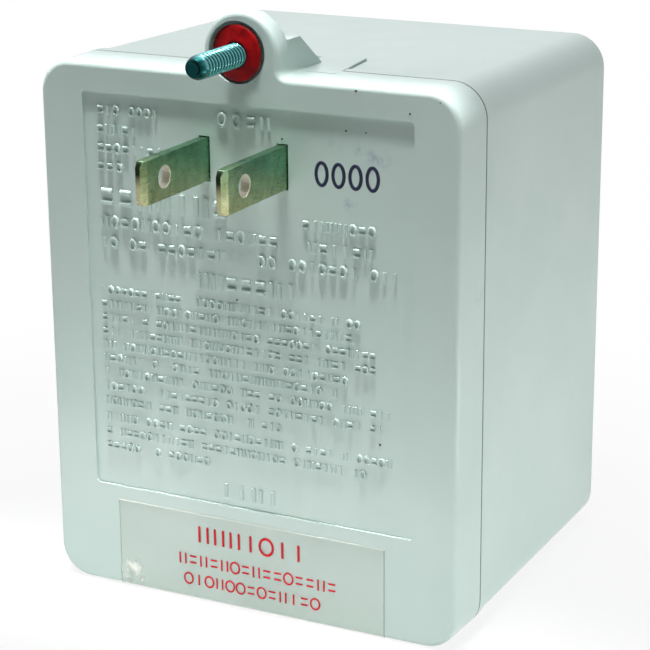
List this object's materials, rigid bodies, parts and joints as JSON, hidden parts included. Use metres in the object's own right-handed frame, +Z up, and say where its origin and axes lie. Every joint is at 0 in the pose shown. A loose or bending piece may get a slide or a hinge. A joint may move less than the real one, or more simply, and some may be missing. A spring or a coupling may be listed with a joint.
{
  "type": "plug-in step-down transformer",
  "caption": "Boxy plug-in transformer with two flat blades, a top lug with a captive screw and red washer, and a recessed pocket of screw terminals underneath.",
  "frame": {"origin": "midway between the two blades, on the plane that meets the receptacle's cover plate", "axes": "-Y out of the wall-side face along the blades, +Y into the case, +Z up, +X to the right as the wall-side face is looked at"},
  "size_m": [0.0682, 0.0765, 0.0912],
  "materials": {
    "case_plastic": "satin pale grey-green moulded plastic",
    "blade_brass": "nickel-washed brass strip",
    "insulating_board": "brown insulating board",
    "screw_steel": "zinc-plated steel",
    "red_fibre": "deep red vulcanised fibre",
    "label_film": "clear adhesive film with plain red bars",
    "core_steel": "varnished silicon steel laminations",
    "bobbin_nylon": "natural nylon",
    "winding_copper": "enamelled copper wire",
    "winding_tape": "yellow polyester tape",
    "protector_case": "dark moulded case",
    "lead_insulation": "black wire insulation",
    "terminal_brass": "bright brass plate"
  },
  "bodies": {
    "enclosure": {"main_housing": "case_plastic", "wall_side_cover": "case_plastic", "line_blade_left": "blade_brass", "line_blade_right": "blade_brass", "blade_retainer": "insulating_board", "clear_label": "label_film", "core_e_stack": "core_steel", "core_i_stack": "core_steel", "coil_bobbin": "bobbin_nylon", "primary_winding": "winding_copper", "secondary_winding": "winding_copper", "primary_tape": "winding_tape", "secondary_tape": "winding_tape", "thermal_cutoff": "protector_case", "secondary_fuse": "protector_case", "primary_lead_left": "lead_insulation", "primary_lead_right": "lead_insulation", "secondary_lead_left": "lead_insulation", "secondary_lead_right": "lead_insulation", "terminal_plate_left": "terminal_brass", "terminal_plate_right": "terminal_brass"},
    "screw_washer": {"retaining_washer": "red_fibre"},
    "mounting_screw": {"mounting_screw": "screw_steel"},
    "left_clamp": {"clamp_washer_left": "screw_steel"},
    "left_terminal_screw": {"terminal_screw_left": "screw_steel"},
    "right_clamp": {"clamp_washer_right": "screw_steel"},
    "right_terminal_screw": {"terminal_screw_right": "screw_steel"}
  },
  "joints": [
    {"name": "mounting_screw_slide", "type": "slide", "parent": "enclosure", "child": "screw_washer", "axis": [0, -1, 0], "range_m": [-0.0005, 0.0035]},
    {"name": "mounting_screw_turn", "type": "hinge", "parent": "screw_washer", "child": "mounting_screw", "pos_m": [-0.00045, 0, 0.0155], "axis": [0, -1, 0], "continuous": true},
    {"name": "left_clamp_travel", "type": "slide", "parent": "enclosure", "child": "left_clamp", "axis": [0, 0, -1], "range_m": [0, 0.003]},
    {"name": "left_terminal_turn", "type": "hinge", "parent": "left_clamp", "child": "left_terminal_screw", "pos_m": [-0.0089, 0.0465, -0.06155], "axis": [0, 0, -1], "range_deg": [0, 1361]},
    {"name": "right_clamp_travel", "type": "slide", "parent": "enclosure", "child": "right_clamp", "axis": [0, 0, -1], "range_m": [0, 0.003]},
    {"name": "right_terminal_turn", "type": "hinge", "parent": "right_clamp", "child": "right_terminal_screw", "pos_m": [0.0089, 0.0465, -0.06155], "axis": [0, 0, -1], "range_deg": [0, 1361]}
  ],
  "couplings": [
    {"joint": "left_terminal_turn", "follows": "left_clamp_travel", "rad_per_m": 7915.8},
    {"joint": "right_terminal_turn", "follows": "right_clamp_travel", "rad_per_m": 7915.8}
  ]
}
